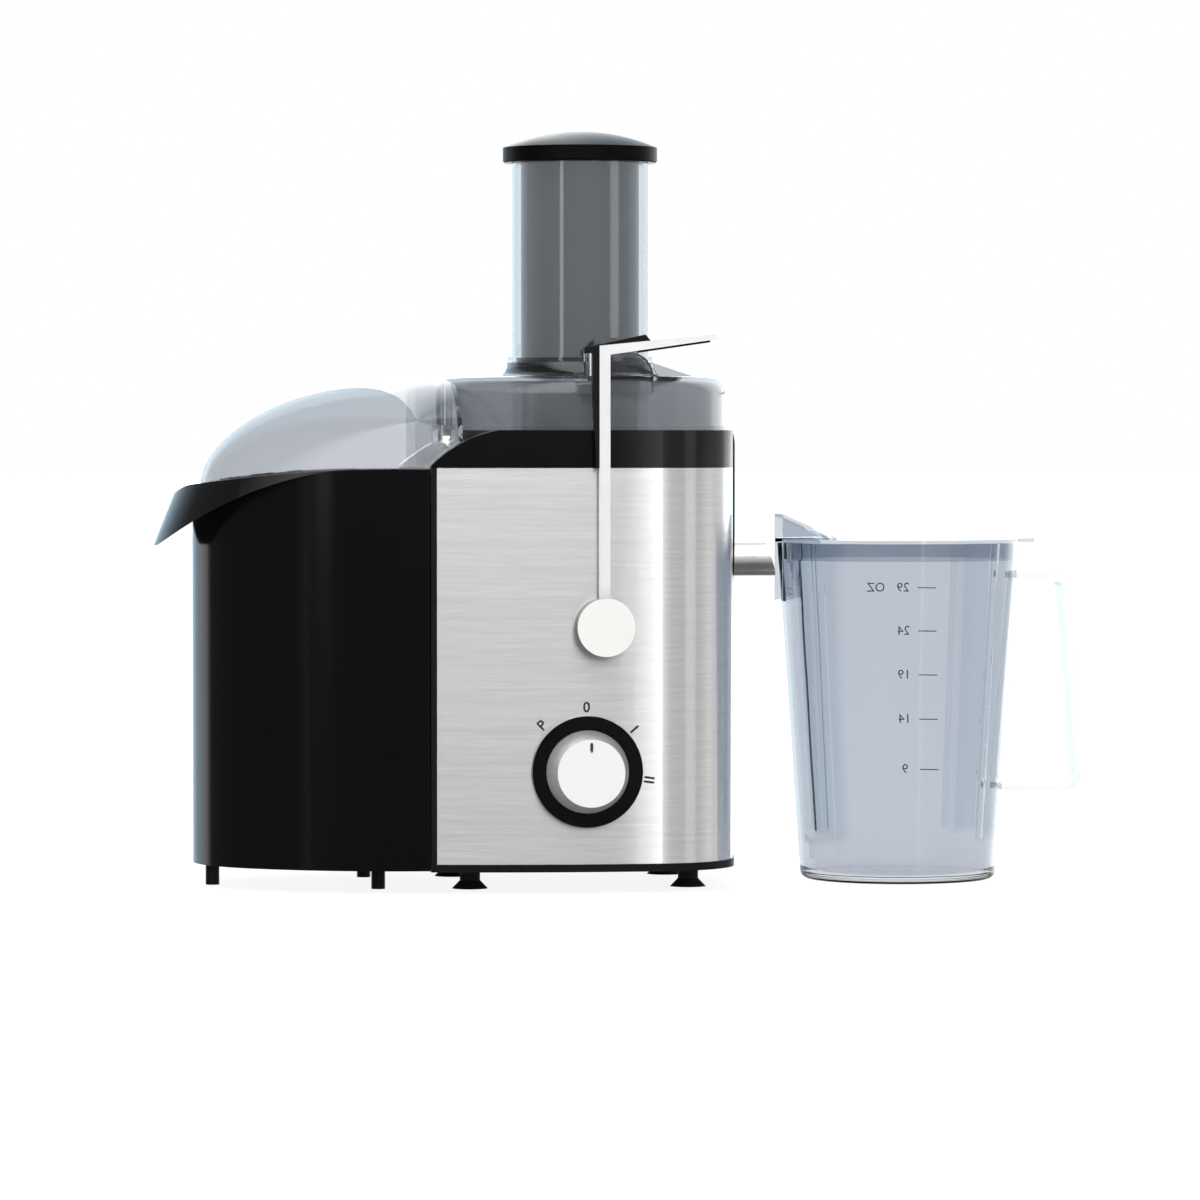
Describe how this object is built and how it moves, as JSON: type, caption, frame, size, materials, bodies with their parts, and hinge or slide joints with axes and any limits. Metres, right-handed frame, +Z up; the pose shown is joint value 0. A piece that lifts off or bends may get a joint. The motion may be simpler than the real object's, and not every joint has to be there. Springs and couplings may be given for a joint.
{
  "type": "centrifugal juicer",
  "caption": "Centrifugal juicer with a steel-wrapped base, clear lid and feed chute with pusher, locking bail, rotary speed knob, side pulp container and a separate clear juice jug",
  "frame": {"origin": "middle of the footprint at table level, jug and pulp container included", "axes": "+Z up; +X towards the juice spout and jug; -Y is the side with the speed knob, seen in the picture"},
  "size_m": [0.495, 0.2181, 0.3966],
  "materials": {
    "black_housing": "smooth",
    "brushed_steel": "level brushed grain",
    "black_matte": "fine texture",
    "rubber": "matte",
    "collar_black": "satin gloss",
    "bowl_plastic": "smooth",
    "spout_white": "smooth",
    "clear_plastic": "clear",
    "jug_clear": "clear, lightly tinted",
    "pusher_grey": "smooth, smoke grey",
    "cap_black": "smooth",
    "container_black": "polished",
    "bail_metal": "polished",
    "disc_white": "satin",
    "clamp_black": "smooth",
    "pin_steel": "turned",
    "knob_black": "polished",
    "knob_grey": "spun",
    "knob_white": "smooth",
    "switch_case": "moulded",
    "lamination": "stacked sheets",
    "copper_wire": "enamelled wire",
    "motor_plastic": "moulded",
    "bracket_metal": "die cast",
    "carbon": "carbon",
    "fan_plastic": "moulded",
    "frame_white": "moulded",
    "sheet_steel": "punched sheet"
  },
  "bodies": {
    "base": {"base_housing": "black_housing", "steel_wrap": "brushed_steel", "base_plate": "black_matte", "suction_cups": "rubber", "base_screws": "pin_steel", "top_collar": "collar_black", "juice_bowl": "bowl_plastic", "spout_shield": "collar_black", "juice_spout": "spout_white", "lid": "clear_plastic", "feed_chute": "clear_plastic", "chute_ring": "black_matte", "pulp_hood": "clear_plastic", "pivot_pins": "pin_steel", "knob_bezel": "knob_black", "rotary_switch": "switch_case", "cord_gland": "black_matte", "safety_switch": "switch_case", "stator_stack": "lamination", "field_windings": "copper_wire", "lower_bracket": "bracket_metal", "upper_bracket": "bracket_metal", "motor_bearings": "pin_steel", "motor_bolts": "pin_steel", "motor_mounts": "rubber", "brush_holders": "motor_plastic", "brushes": "carbon", "shaft_seal": "rubber"},
    "rotor": {"motor_shaft": "pin_steel", "armature_core": "lamination", "armature_windings": "copper_wire", "commutator": "copper_wire", "cooling_fan": "fan_plastic", "drive_coupling": "motor_plastic", "basket_frame": "frame_white", "filter_screen": "sheet_steel", "grater_disc": "sheet_steel", "basket_hub": "frame_white"},
    "locking_arm": {"locking_arm": "bail_metal", "grip_pad": "clamp_black", "arm_pivot_discs": "disc_white", "arm_clamps": "clamp_black", "clamp_pads": "clear_plastic"},
    "pusher": {"pusher_foot": "black_matte", "pusher_body": "pusher_grey", "pusher_cap": "cap_black"},
    "pulp_container": {"pulp_container": "container_black", "container_posts": "black_matte"},
    "jug": {"jug_body": "jug_clear", "jug_handle": "jug_clear"},
    "jug_lid": {"jug_lid": "jug_clear"},
    "knob": {"speed_knob": "knob_grey", "knob_cap": "knob_white", "knob_spindle": "pin_steel"}
  },
  "joints": [
    {"name": "rotor_spin", "type": "hinge", "parent": "base", "child": "rotor", "pos_m": [-0.022, 0, 0.16], "axis": [0, 0, 1], "continuous": true},
    {"name": "bail_swing", "type": "hinge", "parent": "base", "child": "locking_arm", "pos_m": [-0.022, 0, 0.1377], "axis": [0, 1, 0], "range_deg": [0, 35]},
    {"name": "knob_turn", "type": "hinge", "parent": "base", "child": "knob", "pos_m": [-0.0305, -0.1, 0.0633], "axis": [0, 1, 0], "range_deg": [-49, 98]},
    {"name": "pusher_lift", "type": "slide", "parent": "base", "child": "pusher", "axis": [0, 0, 1], "range_m": [0, 0.12]},
    {"name": "container_pull", "type": "slide", "parent": "base", "child": "pulp_container", "axis": [-1, 0, 0], "range_m": [0, 0.13]},
    {"name": "jug_pull", "type": "slide", "parent": "base", "child": "jug", "axis": [1, 0, 0], "range_m": [0, 0.12]},
    {"name": "jug_lid_lift", "type": "slide", "parent": "jug", "child": "jug_lid", "axis": [0, 0, 1], "range_m": [0, 0.022]}
  ]
}
